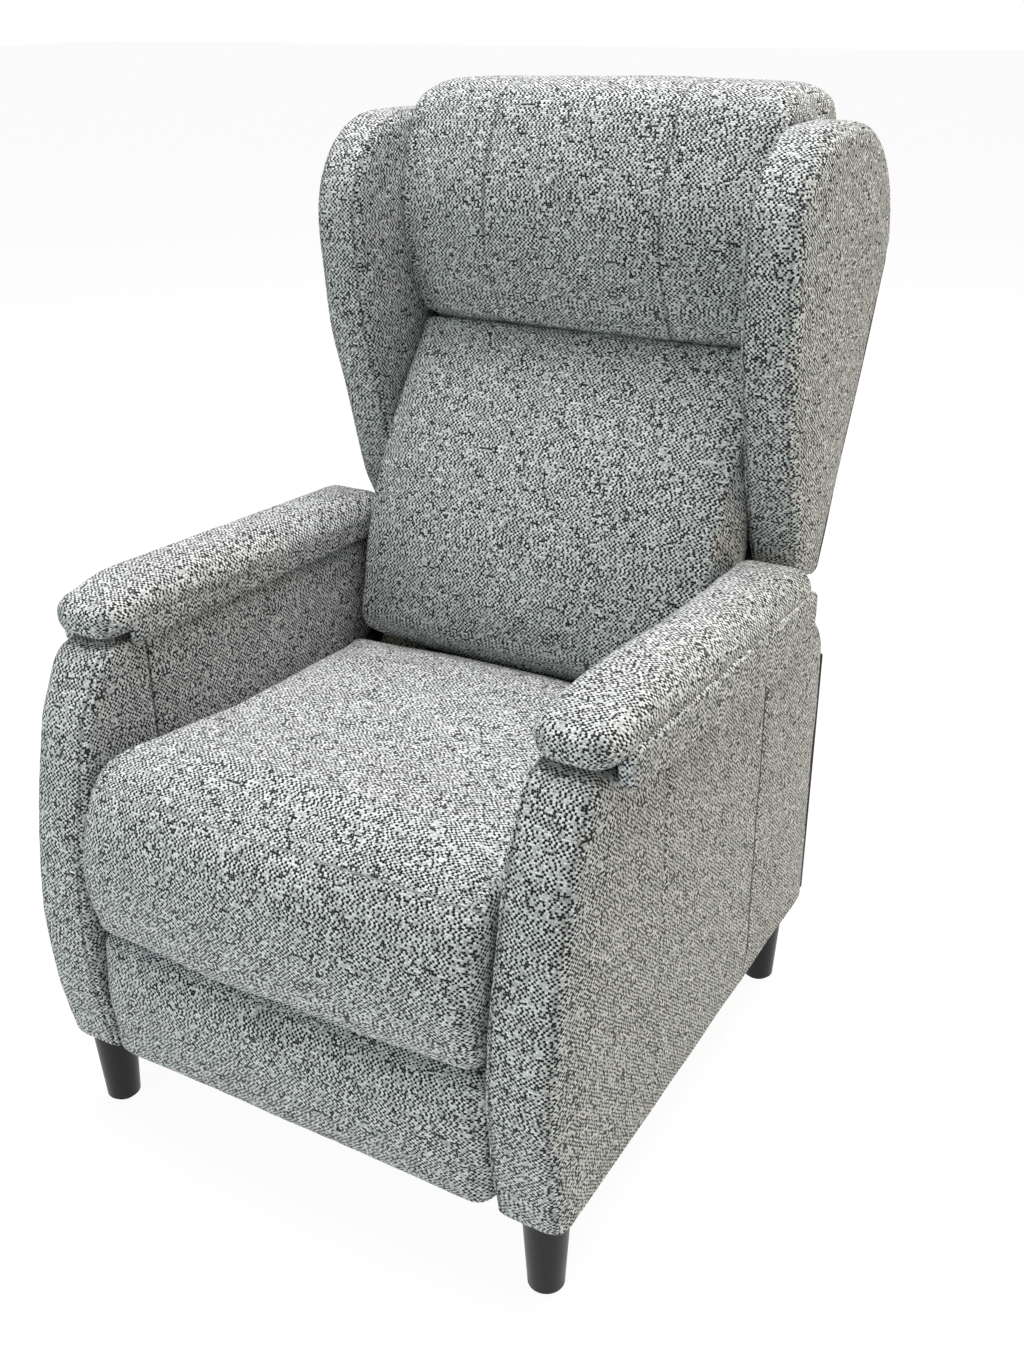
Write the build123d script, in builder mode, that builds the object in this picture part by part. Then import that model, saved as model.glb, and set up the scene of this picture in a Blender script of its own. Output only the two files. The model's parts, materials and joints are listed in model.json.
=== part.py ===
from build123d import *
import math
import os

# Pushback recliner, upright. +Z up, front of the chair towards -Y, millimetres.
# The origin is on the floor, in the middle of the chair's box.

# Widths
seat_width = 490
arm_width = 80
wing_width = 70
wing_inset = 10

# Legs
leg_height = 105
leg_top_radius = 25
leg_foot_radius = 19
leg_inset_front = 28
leg_inset_rear = 60
glide_radius = 15
glide_height = 4
leg_bolt_radius = 4
leg_bolt_depth = 30

# Arm outline: places along the chair, and heights above the arm's underside
arm_foot_y = -404
arm_nose_y = -425
arm_nose_height = 165
arm_brow_y = -385
arm_brow_height = 395
arm_crest_y = -345
arm_front_height = 467
arm_top_rear_y = 174
arm_rear_height = 443
arm_shoulder_y = 250
arm_shoulder_height = 387
arm_rear_y = 265
arm_heel_height = 357
arm_brow_radius = 120
arm_crest_radius = 38
arm_corner_radius = 24
arm_outer_round = 20
arm_inner_round = 10

# Arm upholstery and the wooden frame inside it
arm_padding = 8
arm_edge_padding = 11
arm_panel_thickness = 15
rail_size = 40
front_post_setback = 36
rear_post_setback = 105
top_rail_drop = 35

# Arm pad
pad_front_y = -326
pad_rear_y = 166
pad_overhang = 8
pad_front_thickness = 36
pad_rear_thickness = 45
pad_crown = 9
pad_round = 14
flap_front_drop = 12
flap_rear_drop = 30

# Seat frame
seat_deck_height = 287
seat_rail_height = 40
seat_rail_width = 45
seat_rail_front_y = -360
seat_rail_rear_y = 62
cross_rail_thickness = 25
seat_board_thickness = 12
seat_board_drop = 84

# Seat cushion
cushion_front_y = -443.5
cushion_brow_y = -388
cushion_rear_y = 70
cushion_front_height = 78
cushion_rear_height = 38
cushion_crown = 14
cushion_draw_in = 4
crown_shave = 0.5
cushion_brow_radius = 40
cushion_round = 14
skirt_tuck = 18
side_gap = 3

# Seat springs
spring_count = 5
spring_pitch = 78
spring_wire = 3.6
spring_swing = 22
spring_step = 22
spring_bend = 8
clip_size = 18
clip_cap = 2

# Back frame, on the back's own leaning plane
back_rake = 26
back_foot_y = 262
back_foot_height = 428
back_post_width = 26
back_post_depth = 45
back_post_low = 115
back_post_high = 372
back_rail_height = 45
lumbar_rail_at = 120
webbing_width = 50
webbing_thickness = 2
webbing_count = 5
lining_thickness = 4
lining_hem = 8

# Back cushion: heights along the back, depths in front of its rear face
back_cushion_low = 166
crease_height = 232
crease_depth = 145
back_cushion_edge = 158
back_cushion_bulge = 22
back_cushion_crown = 14
back_cushion_round = 34
crease_gap = 2

# Headrest: places along the chair, and heights above the arm's underside
headrest_cheek_y = 193
headrest_cheek_height = 820
headrest_brow_y = 216
headrest_brow_height = 922
headrest_top_y = 305
headrest_top_height = 979
headrest_nape_y = 434
headrest_nape_height = 895
headrest_crest_y = 252
headrest_crest_height = 964
headrest_poll_y = 384
headrest_poll_height = 961
headrest_round = 22
headrest_seam_x = 112
channel_width = 6
channel_depth = 4

# Wing outline: places along the chair, and heights above the arm's underside
wing_tip_y = 205
wing_tip_height = 453
wing_throat_y = 184
wing_throat_height = 495
wing_cheek_y = 130
wing_cheek_height = 715
wing_nose_y = 115
wing_nose_height = 825
wing_brow_y = 151
wing_brow_height = 909
wing_top_y = 245
wing_top_height = 947
wing_crown_y = 385
wing_crown_height = 889
wing_hip_along = 410
wing_throat_radius = 60
wing_blend_radius = 50
wing_round = 18
wing_board_thickness = 16
wing_board_margin = 28

# Folding mechanism
plate_gap = 1
plate_thickness = 3
rail_thickness = 4
base_rail_front_y = -262
base_rail_rear_y = 95
base_rail_height = 46
base_rail_lift = 36
base_bolt_spread = 40
link_radius = 12
pin_radius = 5
pin_clearance = 0.05
rivet_radius = 8
rivet_head = 2
swing_front_y = -232
swing_rear_y = 58
swing_pivot_height = 60
swing_length = 70
swing_rest_angle = 150
main_pivot_y = -292
main_pivot_height = 131
main_link_length = 165
front_link_length = 205
footrest_pivot_y = -352
footrest_pivot_height = 85
link_tube_radius = 9
link_tube_reach = 50
cross_tube_radius = 11
cross_tube_y = -60
tube_wall = 2
back_pivot_y = 100
back_pivot_drop = 133
back_ear_radius = 16
bracket_foot_along = -62
bracket_foot_radius = 18
bracket_bolt_spread = 10
web_depth = 40
flange_width = 42
seat_bolt_inset = 60
bolt_radius = 3
bolt_head_radius = 6
bolt_head = 4
bolt_depth = 24

# Footrest
footrest_front_y = -426
footrest_pad_thickness = 40
footrest_board_thickness = 12
footrest_gap = 3
footrest_low = 1
footrest_crown = 9
footrest_round = 16
footrest_bracket_half = 30

# Base
stretcher_depth = 30
stretcher_height = 28
front_stretcher_y = -55
rear_stretcher_y = 215
rear_panel_thickness = 12
rear_panel_inset = 14
rear_panel_height = 312
dust_cover_thickness = 1.5
soft_gap = 0.3

# Places across the chair, worked out from the sizes above
arm_inner_x = seat_width / 2
arm_outer_x = arm_inner_x + arm_width
arm_middle_x = (arm_inner_x + arm_outer_x) / 2
panel_x = arm_inner_x + arm_padding
rails_x = panel_x + arm_panel_thickness
rails_width = arm_width - 2 * arm_padding - arm_panel_thickness
wing_inner_x = arm_inner_x - wing_inset
wing_outer_x = wing_inner_x + wing_width
base_rail_x = arm_inner_x - rail_thickness
swing_x = base_rail_x - plate_gap - plate_thickness
seat_plate_x = swing_x - plate_gap - plate_thickness
seat_half = seat_plate_x + plate_thickness
main_link_x = seat_plate_x - plate_gap - plate_thickness
front_link_x = main_link_x - plate_gap - plate_thickness
foot_bracket_x = front_link_x - plate_gap - plate_thickness
back_bracket_x = arm_inner_x - side_gap - plate_thickness
back_post_x = back_bracket_x - back_post_width
cushion_half = arm_inner_x - side_gap
back_cushion_half = wing_inner_x - side_gap

# Heights above the floor
deck_z = leg_height + seat_deck_height
seat_rail_z = deck_z - seat_rail_height
flange_z = seat_rail_z - plate_thickness
board_bottom_z = seat_rail_z - seat_board_drop
cushion_base_z = deck_z + spring_wire + clip_cap + soft_gap
footrest_top_z = board_bottom_z - footrest_gap
footrest_bottom_z = leg_height - footrest_low
rake = math.radians(back_rake)

# Which corner or side of a shape stands on its place
low = (Align.MIN, Align.MIN, Align.MIN)
flat_low = (Align.MIN, Align.MIN)
middle_low = (Align.CENTER, Align.MIN)
facing = (Align.CENTER, Align.MIN, Align.MIN)
standing = (Align.CENTER, Align.CENTER, Align.MIN)
hanging = (Align.CENTER, Align.CENTER, Align.MAX)


def lift(y, height):
    return (y, leg_height + height)


def on_back(along, depth):
    y = back_foot_y + along * math.sin(rake) - depth * math.cos(rake)
    z = leg_height + back_foot_height + along * math.cos(rake) + depth * math.sin(rake)
    return (y, z)


def side_plane(x):
    return Plane.YZ.offset(x)


def back_plane(depth):
    y, z = on_back(0, depth)
    return Plane(origin=(0, y, z), x_dir=(1, 0, 0), z_dir=(0, -math.cos(rake), math.sin(rake)))


def section_plane(start, end):
    span = math.dist(start, end)
    normal = (0, (start[0] - end[0]) / span, (start[1] - end[1]) / span)
    return Plane(origin=(0, start[0], start[1]), x_dir=(1, 0, 0), z_dir=normal)


def crown_radius(width, rise):
    return (width**2 / 4 + rise**2) / (2 * rise)


def save(part, name):
    part.label = name
    export_step(part, f"parts/{name}.step")


def save_pair(part, name):
    save(part, f"right_{name}")
    with BuildPart() as left:
        mirror(part, about=Plane.YZ)
    save(left.part, f"left_{name}")


def both_sides(part):
    with BuildPart() as pair:
        add(part)
        mirror(part, about=Plane.YZ)
    return pair.part


def corner(sketch, point):
    return sketch.vertices().sort_by_distance((point[0], point[1], 0))[0]


def drawn_in(half, start, end):
    middle = (start + end) / 2
    start -= cushion_draw_in
    end += cushion_draw_in
    waist = half - cushion_draw_in
    with BuildSketch(mode=Mode.PRIVATE) as outline:
        with BuildLine():
            Line((-half, start), (half, start))
            ThreePointArc((half, start), (waist, middle), (half, end))
            Line((half, end), (-half, end))
            ThreePointArc((-half, end), (-waist, middle), (-half, start))
        make_face()
    return outline.sketch


# Flat steel bars of the folding mechanism, and the rivets they turn on
def oblong(ends, radii):
    with BuildSketch(mode=Mode.PRIVATE) as outline:
        for end, radius in zip(ends, radii):
            with Locations(end):
                Circle(radius)
        make_hull()
    return outline.sketch


def strap(ends, radii, x):
    with BuildPart(mode=Mode.PRIVATE) as bar:
        with BuildSketch(side_plane(x)):
            add(oblong(ends, radii))
        extrude(amount=plate_thickness)
    return bar.part


def link(start, end, x):
    bar = strap((start, end), (link_radius, link_radius), x)
    with BuildPart(mode=Mode.PRIVATE) as drilled:
        add(bar)
        with BuildSketch(side_plane(x)):
            with Locations(start, end):
                Circle(pin_radius + pin_clearance)
        extrude(amount=plate_thickness, mode=Mode.SUBTRACT)
    return drilled.part


def rivet(place, head_x, tail_x):
    with BuildPart(mode=Mode.PRIVATE) as pin:
        with BuildSketch(side_plane(head_x)):
            with Locations(place):
                Circle(rivet_radius)
        extrude(amount=rivet_head)
        with BuildSketch(side_plane(head_x)):
            with Locations(place):
                Circle(pin_radius)
        extrude(amount=tail_x - head_x)
    return pin.part


# Pivots of the folding mechanism, on the chair's side view
def along_angle(start, length, angle):
    turn = math.radians(angle)
    return (start[0] - length * math.cos(turn), start[1] + length * math.sin(turn))


def knee(hip, foot):
    span = math.dist(hip, foot)
    along = (main_link_length**2 - front_link_length**2 + span**2) / (2 * span)
    out = math.sqrt(main_link_length**2 - along**2)
    step = ((foot[0] - hip[0]) / span, (foot[1] - hip[1]) / span)
    return (hip[0] + along * step[0] - out * step[1], hip[1] + along * step[1] + out * step[0])


front_swing = lift(swing_front_y, swing_pivot_height)
rear_swing = lift(swing_rear_y, swing_pivot_height)
front_swing_top = along_angle(front_swing, swing_length, swing_rest_angle)
rear_swing_top = along_angle(rear_swing, swing_length, swing_rest_angle)
main_pivot = lift(main_pivot_y, main_pivot_height)
footrest_pivot = lift(footrest_pivot_y, footrest_pivot_height)
knee_pivot = knee(main_pivot, footrest_pivot)
back_pivot = lift(back_pivot_y, back_foot_height - back_pivot_drop)
pivots = {
    "front swing": front_swing,
    "front swing top": front_swing_top,
    "rear swing": rear_swing,
    "rear swing top": rear_swing_top,
    "back": back_pivot,
    "main link": main_pivot,
    "knee": knee_pivot,
    "footrest": footrest_pivot,
}
for name, place in pivots.items():
    print(f"pivot {name}: y {place[0]:.4f} z {place[1]:.4f}")

os.makedirs("parts", exist_ok=True)

# The arm's side outline, before any rounding across its width
foot = lift(arm_foot_y, 0)
brow = lift(arm_brow_y, arm_brow_height)
crest = lift(arm_crest_y, arm_front_height)
top_rear = lift(arm_top_rear_y, arm_rear_height)
shoulder = lift(arm_shoulder_y, arm_shoulder_height)
heel = lift(arm_rear_y, arm_heel_height)
rear_foot = lift(arm_rear_y, 0)
with BuildSketch() as arm_outline:
    with BuildLine():
        ThreePointArc(foot, lift(arm_nose_y, arm_nose_height), brow)
        Polyline(brow, crest, top_rear, shoulder, heel, rear_foot, foot)
    make_face()
    fillet(corner(arm_outline, brow), arm_brow_radius)
    fillet(corner(arm_outline, crest), arm_crest_radius)
    fillet([corner(arm_outline, p) for p in (top_rear, shoulder, heel, rear_foot)], arm_corner_radius)

with BuildSketch() as arm_core:
    offset(arm_outline.face(), amount=-arm_edge_padding, kind=Kind.INTERSECTION)


def arm_top(y):
    return crest[1] + (y - crest[0]) * (top_rear[1] - crest[1]) / (top_rear[0] - crest[0])


# Arm cover: fabric over foam, hollow for the frame and open underneath
mouth_front = arm_foot_y + arm_edge_padding
mouth_rear = arm_rear_y - arm_corner_radius - arm_edge_padding
rail_middle = (base_rail_front_y + base_rail_rear_y) / 2
base_bolt_places = [
    lift(rail_middle - base_bolt_spread, base_rail_lift + base_rail_height / 2),
    lift(rail_middle + base_bolt_spread, base_rail_lift + base_rail_height / 2),
]
with BuildPart() as arm_cover:
    with BuildSketch(side_plane(arm_inner_x)):
        add(arm_outline.sketch)
    extrude(amount=arm_width)
    rim = arm_cover.edges().filter_by(lambda e: e.center().Z > leg_height + 1)
    fillet(rim.filter_by(lambda e: e.bounding_box().min.X > arm_outer_x - 1), arm_outer_round)
    rim = arm_cover.edges().filter_by(lambda e: e.center().Z > leg_height + 1)
    fillet(rim.filter_by(lambda e: e.bounding_box().max.X < arm_inner_x + 1), arm_inner_round)
    with BuildSketch(side_plane(panel_x)):
        add(arm_core.sketch)
        with Locations((mouth_front, leg_height - 1)):
            Rectangle(mouth_rear - mouth_front, rail_size, align=flat_low)
    extrude(amount=arm_width - 2 * arm_padding, mode=Mode.SUBTRACT)
    with BuildSketch(side_plane(arm_inner_x)):
        with Locations(base_bolt_places):
            Circle(bolt_radius)
    extrude(amount=arm_padding, mode=Mode.SUBTRACT)
save_pair(arm_cover.part, "arm_cover")

# Arm panel: plywood behind the inner face, it takes the mechanism's bolts
with BuildPart() as arm_panel:
    with BuildSketch(side_plane(panel_x)):
        offset(arm_core.face(), amount=-soft_gap, kind=Kind.INTERSECTION)
        with Locations((mouth_front + soft_gap, leg_height)):
            Rectangle(mouth_rear - mouth_front - 2 * soft_gap, rail_size, align=flat_low)
        with Locations(base_bolt_places):
            Circle(bolt_radius, mode=Mode.SUBTRACT)
    extrude(amount=arm_panel_thickness)
save_pair(arm_panel.part, "arm_panel")

# Arm rails: bottom rail, two posts and the top rail under the pad, a glue line apart
leg_places = [(arm_middle_x, arm_foot_y + leg_inset_front), (arm_middle_x, arm_rear_y - leg_inset_rear)]
top_rail_z = top_rear[1] - top_rail_drop - rail_size
front_post_y = arm_foot_y + front_post_setback
rear_post_y = arm_rear_y - rear_post_setback - rail_size
bottom_rail_start = mouth_front + soft_gap
bottom_rail_length = mouth_rear - soft_gap - bottom_rail_start
post_bottom_z = leg_height + rail_size + soft_gap
with BuildPart() as arm_rails:
    with Locations((rails_x, bottom_rail_start, leg_height)):
        Box(rails_width, bottom_rail_length, rail_size, align=low)
    with Locations(*[(x, y, leg_height) for x, y in leg_places]):
        Cylinder(leg_bolt_radius, 2 * leg_bolt_depth, mode=Mode.SUBTRACT)
    for y in (front_post_y, rear_post_y):
        with Locations((rails_x, y, post_bottom_z)):
            Box(rails_width, rail_size, top_rail_z - soft_gap - post_bottom_z, align=low)
    with Locations((rails_x, front_post_y + rail_size / 2, top_rail_z)):
        Box(rails_width, rear_post_y + rail_size / 2 - front_post_y, rail_size, align=low)
save_pair(arm_rails.part, "arm_rails")

# Arm pad: a crowned cap laid over the arm, with a flap down each side
pad_width = arm_width + 2 * pad_overhang
pad_length = pad_rear_y - pad_front_y
pad_top_front = (pad_front_y, arm_top(pad_front_y) + pad_front_thickness)
pad_top_rear = (pad_rear_y, arm_top(pad_rear_y) + pad_rear_thickness)
pad_crown_radius = crown_radius(pad_width, pad_crown)
with BuildPart() as arm_pad:
    with BuildSketch(side_plane(arm_inner_x - pad_overhang)):
        with BuildLine():
            Polyline(
                (pad_front_y, arm_top(pad_front_y) - flap_front_drop),
                pad_top_front,
                pad_top_rear,
                (pad_rear_y, arm_top(pad_rear_y) - flap_rear_drop),
                close=True,
            )
        make_face()
    extrude(amount=pad_width)
    with BuildSketch(section_plane(pad_top_front, pad_top_rear)):
        with Locations((arm_middle_x, -pad_crown_radius - crown_shave)):
            Circle(pad_crown_radius)
    extrude(amount=2 * pad_length, both=True, mode=Mode.INTERSECT)
    fillet(arm_pad.faces().sort_by(Axis.Z)[-1].edges(), pad_round)
    with BuildSketch(side_plane(arm_inner_x - soft_gap)):
        with BuildLine():
            Polyline(
                (pad_front_y - pad_round, arm_top(pad_front_y - pad_round) + soft_gap),
                (pad_rear_y + pad_round, arm_top(pad_rear_y + pad_round) + soft_gap),
                (pad_rear_y + pad_round, leg_height),
                (pad_front_y - pad_round, leg_height),
                close=True,
            )
        make_face()
    extrude(amount=arm_width + 2 * soft_gap, mode=Mode.SUBTRACT)
save_pair(arm_pad.part, "arm_pad")

# Legs: round and tapered, each on a hanger bolt, with a glide under its foot
for place, (x, y) in zip(("front", "rear"), leg_places):
    with BuildPart() as leg:
        with Locations((x, y, glide_height)):
            Cone(leg_foot_radius, leg_top_radius, leg_height - glide_height, align=standing)
        with Locations((x, y, leg_height)):
            Cylinder(leg_bolt_radius, 2 * leg_bolt_depth, mode=Mode.SUBTRACT)
    save_pair(leg.part, f"{place}_leg")

four_legs = [(x * side, y) for x, y in leg_places for side in (1, -1)]
with BuildPart() as leg_bolts:
    with Locations(*[(x, y, leg_height) for x, y in four_legs]):
        Cylinder(leg_bolt_radius, 2 * leg_bolt_depth)
save(leg_bolts.part, "leg_bolts")

with BuildPart() as leg_glides:
    with Locations(*[(x, y, 0) for x, y in four_legs]):
        Cylinder(glide_radius, glide_height, align=standing)
save(leg_glides.part, "leg_glides")

# Stretchers, lower rear panel and dust cover close the base between the arms
stretcher_z = leg_height + dust_cover_thickness
for place, y in (("front", front_stretcher_y), ("rear", rear_stretcher_y)):
    with BuildPart() as stretcher:
        with Locations((0, y, stretcher_z)):
            Box(seat_width, stretcher_depth, stretcher_height, align=standing)
    save(stretcher.part, f"{place}_stretcher")

rear_panel_y = arm_rear_y - rear_panel_inset - rear_panel_thickness / 2
with BuildPart() as rear_panel:
    with Locations((0, rear_panel_y, stretcher_z)):
        Box(seat_width, rear_panel_thickness, rear_panel_height, align=standing)
save(rear_panel.part, "rear_panel")

dust_front_y = front_stretcher_y - stretcher_depth / 2
dust_rear_y = rear_panel_y + rear_panel_thickness / 2
with BuildPart() as dust_cover:
    with Locations((0, (dust_front_y + dust_rear_y) / 2, leg_height)):
        Box(seat_width, dust_rear_y - dust_front_y, dust_cover_thickness, align=standing)
save(dust_cover.part, "dust_cover")

# Base rails bolted to the arm panels, with the swing links that carry the seat
with BuildPart() as base_rail:
    with BuildSketch(side_plane(base_rail_x)):
        with Locations((base_rail_front_y, leg_height + base_rail_lift)):
            Rectangle(base_rail_rear_y - base_rail_front_y, base_rail_height, align=flat_low)
        with Locations(base_bolt_places):
            Circle(bolt_radius, mode=Mode.SUBTRACT)
        with Locations(front_swing, rear_swing):
            Circle(pin_radius, mode=Mode.SUBTRACT)
    extrude(amount=rail_thickness)
save_pair(base_rail.part, "base_rail")

with BuildPart() as base_bolt:
    with BuildSketch(side_plane(base_rail_x - bolt_head)):
        with Locations(base_bolt_places):
            Circle(bolt_head_radius)
    extrude(amount=bolt_head)
    with BuildSketch(side_plane(base_rail_x)):
        with Locations(base_bolt_places):
            Circle(bolt_radius)
    extrude(amount=rail_thickness + arm_padding + arm_panel_thickness)
save(both_sides(base_bolt.part), "base_rail_bolts")

base_rivets = [rivet(place, swing_x - rivet_head, arm_inner_x) for place in (front_swing, rear_swing)]
with BuildPart() as base_rivet:
    add(base_rivets)
save(both_sides(base_rivet.part), "base_pivot_rivets")

save(both_sides(link(front_swing, front_swing_top, swing_x)), "front_swing_links")
save(both_sides(link(rear_swing, rear_swing_top, swing_x)), "rear_swing_links")

# Seat plate: a flanged web with a lobe for each pivot and an ear for the back
web_z = seat_rail_z - web_depth / 2
web_front_y = main_pivot_y - web_depth / 2
web_rear_y = back_pivot_y + web_depth / 2
lobe_radius = link_radius + plate_gap
plate_lobes = [(pivot, lobe_radius) for pivot in (front_swing_top, rear_swing_top, main_pivot)]
plate_lobes.append((back_pivot, back_ear_radius))
seat_bolt_x = seat_half - flange_width / 2
seat_bolt_places = [
    (seat_bolt_x, seat_rail_front_y + seat_bolt_inset, flange_z),
    (seat_bolt_x, seat_rail_rear_y - seat_bolt_inset, flange_z),
]
with BuildPart() as seat_plate:
    with BuildSketch(side_plane(seat_plate_x)):
        with Locations((web_front_y, web_z)):
            Rectangle(web_rear_y - web_front_y, web_depth, align=(Align.MIN, Align.CENTER))
        for pivot, radius in plate_lobes:
            root = (min(max(pivot[0], main_pivot_y), back_pivot_y), web_z)
            add(oblong((root, pivot), (radius, radius)))
        with Locations(front_swing_top, rear_swing_top, main_pivot):
            Circle(pin_radius, mode=Mode.SUBTRACT)
        with Locations(back_pivot):
            Circle(pin_radius + pin_clearance, mode=Mode.SUBTRACT)
        with Locations((cross_tube_y, web_z)):
            Circle(cross_tube_radius, mode=Mode.SUBTRACT)
    extrude(amount=plate_thickness)
    with Locations((seat_half - flange_width, seat_rail_front_y, flange_z)):
        Box(flange_width, seat_rail_rear_y - seat_rail_front_y, plate_thickness, align=low)
    with Locations(*seat_bolt_places):
        Cylinder(bolt_radius, 4 * plate_thickness, mode=Mode.SUBTRACT)
save_pair(seat_plate.part, "seat_plate")

with BuildPart() as seat_tube:
    with BuildSketch(side_plane(-seat_half)):
        with Locations((cross_tube_y, web_z)):
            Circle(cross_tube_radius)
            Circle(cross_tube_radius - tube_wall, mode=Mode.SUBTRACT)
    extrude(amount=2 * seat_half)
save(seat_tube.part, "seat_cross_tube")

with BuildPart() as seat_bolt:
    with Locations(*seat_bolt_places):
        Cylinder(bolt_radius, bolt_depth, align=standing)
        Cylinder(bolt_head_radius, bolt_head, align=hanging)
save(both_sides(seat_bolt.part), "seat_bolts")

main_rivet = rivet(main_pivot, main_link_x - rivet_head, seat_half)
with BuildPart() as seat_rivet:
    with BuildSketch(side_plane(seat_plate_x)):
        with Locations(front_swing_top, rear_swing_top):
            Circle(pin_radius)
    extrude(amount=base_rail_x - seat_plate_x)
    add(main_rivet)
save(both_sides(seat_rivet.part), "seat_pivot_rivets")

# Seat frame: side rails on the plates' flanges, cross rails between them and a front board
rail_inner_x = seat_half - seat_rail_width
with BuildPart() as seat_rail:
    with Locations((rail_inner_x, seat_rail_front_y, seat_rail_z)):
        Box(seat_rail_width, seat_rail_rear_y - seat_rail_front_y, seat_rail_height, align=low)
    with Locations(*seat_bolt_places):
        Cylinder(bolt_radius, 2 * bolt_depth, mode=Mode.SUBTRACT)
save_pair(seat_rail.part, "seat_rail")

spring_start = seat_rail_front_y + cross_rail_thickness / 2
spring_end = seat_rail_rear_y - cross_rail_thickness / 2
with BuildPart() as cross_rails:
    with Locations((0, spring_start, seat_rail_z), (0, spring_end, seat_rail_z)):
        Box(2 * rail_inner_x, cross_rail_thickness, seat_rail_height, align=standing)
save(cross_rails.part, "seat_cross_rails")

board_y = seat_rail_front_y - seat_board_thickness / 2
with BuildPart() as seat_board:
    with Locations((0, board_y, board_bottom_z)):
        Box(2 * seat_half, seat_board_thickness, deck_z - board_bottom_z, align=standing)
save(seat_board.part, "seat_front_board")

# Sinuous springs: flat zigzags from the front cross rail to the rear one
zigzag_length = spring_end - spring_start - 2 * clip_size
zigzag_turns = 2 * round(zigzag_length / spring_step / 2)
zigzag_step = zigzag_length / zigzag_turns
zigzag = [(0, spring_start), (0, spring_start + clip_size)]
for turn in range(zigzag_turns):
    side = spring_swing if turn % 2 else -spring_swing
    zigzag.append((side, spring_start + clip_size + turn * zigzag_step))
    zigzag.append((side, spring_start + clip_size + (turn + 1) * zigzag_step))
zigzag += [(0, spring_end - clip_size), (0, spring_end)]
spring_xs = [(k - (spring_count - 1) / 2) * spring_pitch for k in range(spring_count)]
with BuildPart() as seat_spring:
    with BuildSketch(Plane.XY.offset(deck_z)):
        with BuildLine():
            FilletPolyline(*zigzag, radius=spring_bend)
        trace(line_width=spring_wire)
    extrude(amount=spring_wire)
with BuildPart() as seat_springs:
    with Locations(*[(x, 0, 0) for x in spring_xs]):
        add(seat_spring.part)
save(seat_springs.part, "seat_springs")

with BuildPart() as spring_clips:
    with Locations(*[(x, y, deck_z) for x in spring_xs for y in (spring_start, spring_end)]):
        Box(clip_size, clip_size / 2, spring_wire + clip_cap, align=standing)
        Box(spring_wire, clip_size, spring_wire, align=standing, mode=Mode.SUBTRACT)
save(spring_clips.part, "spring_clips")

# Seat cushion: crowned, drawn in at the sides, with a waterfall front over the board
skirt_rear_y = seat_rail_front_y - seat_board_thickness - soft_gap
cushion_top_front = (cushion_brow_y, cushion_base_z + cushion_front_height)
cushion_top_rear = (cushion_rear_y, cushion_base_z + cushion_rear_height)
cushion_nose = (cushion_front_y, (cushion_top_front[1] + board_bottom_z) / 2)
skirt_foot = (cushion_front_y + skirt_tuck, board_bottom_z)
cushion_crown_radius = crown_radius(2 * cushion_half, cushion_crown)
with BuildPart() as seat_cushion:
    with BuildSketch(side_plane(-cushion_half)) as seat_side:
        with BuildLine():
            ThreePointArc(skirt_foot, cushion_nose, cushion_top_front)
            Polyline(
                cushion_top_front,
                cushion_top_rear,
                (cushion_rear_y, cushion_base_z),
                (skirt_rear_y, cushion_base_z),
                (skirt_rear_y, board_bottom_z),
                skirt_foot,
            )
        make_face()
        fillet(corner(seat_side, cushion_top_front), cushion_brow_radius)
        fillet(corner(seat_side, cushion_top_rear), cushion_round)
    extrude(amount=2 * cushion_half)
    with BuildSketch(Plane.XY.offset(board_bottom_z)):
        add(drawn_in(cushion_half, cushion_front_y, cushion_rear_y))
    extrude(amount=2 * seat_width, both=True, mode=Mode.INTERSECT)
    with BuildSketch(section_plane(cushion_top_front, cushion_top_rear)):
        with Locations((0, -cushion_crown_radius - crown_shave)):
            Circle(cushion_crown_radius)
    extrude(amount=2 * seat_width, both=True, mode=Mode.INTERSECT)
save(seat_cushion.part, "seat_cushion")

# Back brackets turn on the seat plates' ears and carry the posts
bracket_foot = on_back(bracket_foot_along, back_post_depth / 2)
bracket_bolt_places = [
    on_back(bracket_foot_along - bracket_bolt_spread, back_post_depth / 2),
    on_back(bracket_foot_along + bracket_bolt_spread, back_post_depth / 2),
]
bracket_strap = strap((back_pivot, bracket_foot), (back_ear_radius, bracket_foot_radius), back_bracket_x)
with BuildPart() as back_bracket:
    add(bracket_strap)
    with BuildSketch(side_plane(back_bracket_x)):
        with Locations(back_pivot):
            Circle(pin_radius)
        with Locations(bracket_bolt_places):
            Circle(bolt_radius)
    extrude(amount=plate_thickness, mode=Mode.SUBTRACT)
save(both_sides(back_bracket.part), "back_brackets")

with BuildPart() as bracket_bolt:
    with BuildSketch(side_plane(back_bracket_x + plate_thickness)):
        with Locations(bracket_bolt_places):
            Circle(bolt_radius)
    extrude(amount=-bolt_depth)
save(both_sides(bracket_bolt.part), "bracket_bolts")

back_pin = rivet(back_pivot, seat_plate_x - rivet_head, back_bracket_x + plate_thickness)
save(both_sides(back_pin), "back_pivot_pins")

# Back posts, rails and webbing, standing on the back's leaning plane
with BuildPart() as back_post:
    with BuildSketch(back_plane(0)):
        with Locations((back_post_x, -back_post_low)):
            Rectangle(back_post_width, back_post_low + back_post_high, align=flat_low)
    extrude(amount=back_post_depth)
    with BuildSketch(side_plane(back_bracket_x + plate_thickness)):
        with Locations(bracket_bolt_places):
            Circle(bolt_radius)
    extrude(amount=-bolt_depth, mode=Mode.SUBTRACT)
save_pair(back_post.part, "back_post")

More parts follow.
